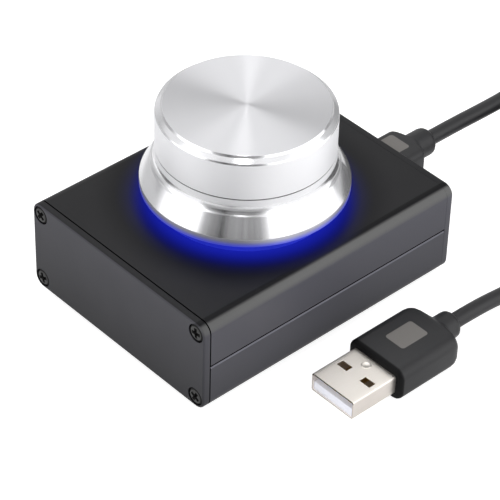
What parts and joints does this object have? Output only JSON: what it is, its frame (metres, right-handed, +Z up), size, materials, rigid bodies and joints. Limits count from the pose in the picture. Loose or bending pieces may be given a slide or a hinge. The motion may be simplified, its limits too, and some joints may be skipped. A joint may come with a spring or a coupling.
{
  "type": "usb volume control knob",
  "caption": "Desk volume control: a turned metal knob that turns without end and presses, on a small black split metal box, with a detachable USB lead.",
  "frame": {"origin": "on the surface the feet stand on, below the middle of the box", "axes": "+Z up along the knob axis, +Y along the long side of the box towards the rear plate where the lead leaves, +X to the right seen from the front plate"},
  "size_m": [0.0771, 0.1565, 0.0466],
  "materials": {
    "anodised_black": "satin black anodised, extruded",
    "turned_aluminium": "turned and polished, spun face",
    "black_steel": "black oxide",
    "foot_rubber": "matte",
    "frosted_light": "frosted, lit blue from inside",
    "led_package": "clear resin in white package",
    "board_green": "solder resist",
    "black_epoxy": "moulded",
    "encoder_moulding": "moulded",
    "rotor_moulding": "moulded",
    "zinc": "die cast zinc",
    "tinned_steel": "tinned sheet",
    "spring_steel": "bare spring steel",
    "nickel": "bright nickel plate",
    "gold_contact": "gold flashed",
    "white_moulding": "white nylon",
    "black_pvc": "satin moulded sheath"
  },
  "bodies": {
    "housing": {"upper_shell": "anodised_black", "lower_shell": "anodised_black", "front_plate": "anodised_black", "rear_plate": "anodised_black", "front_plate_screws": "black_steel", "rear_plate_screws": "black_steel", "foot_front_left": "foot_rubber", "foot_front_right": "foot_rubber", "foot_rear_left": "foot_rubber", "foot_rear_right": "foot_rubber", "light_ring": "frosted_light", "blue_leds": "led_package", "led_resistors": "black_epoxy", "circuit_board": "board_green", "controller_chip": "black_epoxy", "crystal": "tinned_steel", "reservoir_capacitor": "tinned_steel", "usb_jack_shell": "tinned_steel", "usb_jack_tongue": "black_epoxy", "encoder_base": "encoder_moulding", "encoder_pins": "tinned_steel", "encoder_bracket": "tinned_steel", "encoder_bush": "zinc", "bush_washer": "tinned_steel", "bush_nut": "zinc", "detent_spring": "spring_steel", "switch_dome": "spring_steel"},
    "plunger": {"switch_plunger": "rotor_moulding"},
    "knob": {"knob": "turned_aluminium", "knob_grub_screw": "black_steel", "encoder_shaft": "zinc"},
    "rotor": {"encoder_rotor": "rotor_moulding"},
    "lead": {"micro_plug_shell": "nickel", "micro_plug_grip": "black_pvc", "cord_rear": "black_pvc", "cord_coil": "black_pvc", "cord_front": "black_pvc", "usb_a_grip": "black_pvc", "usb_a_shell": "nickel", "usb_a_tongue": "white_moulding", "usb_a_contacts": "gold_contact"}
  },
  "joints": [
    {"name": "knob_push", "type": "slide", "parent": "housing", "child": "plunger", "axis": [0, 0, -1], "range_m": [0, 0.0005], "stiffness_N_per_m": 8000, "springref_m": -0.0002, "deforming": ["switch_dome"]},
    {"name": "knob_turn", "type": "hinge", "parent": "plunger", "child": "knob", "pos_m": [0, 0, 0.03], "axis": [0, 0, 1], "continuous": true},
    {"name": "rotor_turn", "type": "hinge", "parent": "housing", "child": "rotor", "pos_m": [0, 0, 0.018], "axis": [0, 0, 1], "continuous": true},
    {"name": "plug_pull", "type": "slide", "parent": "housing", "child": "lead", "axis": [0, 1, 0], "range_m": [0, 0.006]}
  ],
  "couplings": [
    {"joint": "rotor_turn", "follows": "knob_turn", "ratio": 1}
  ]
}
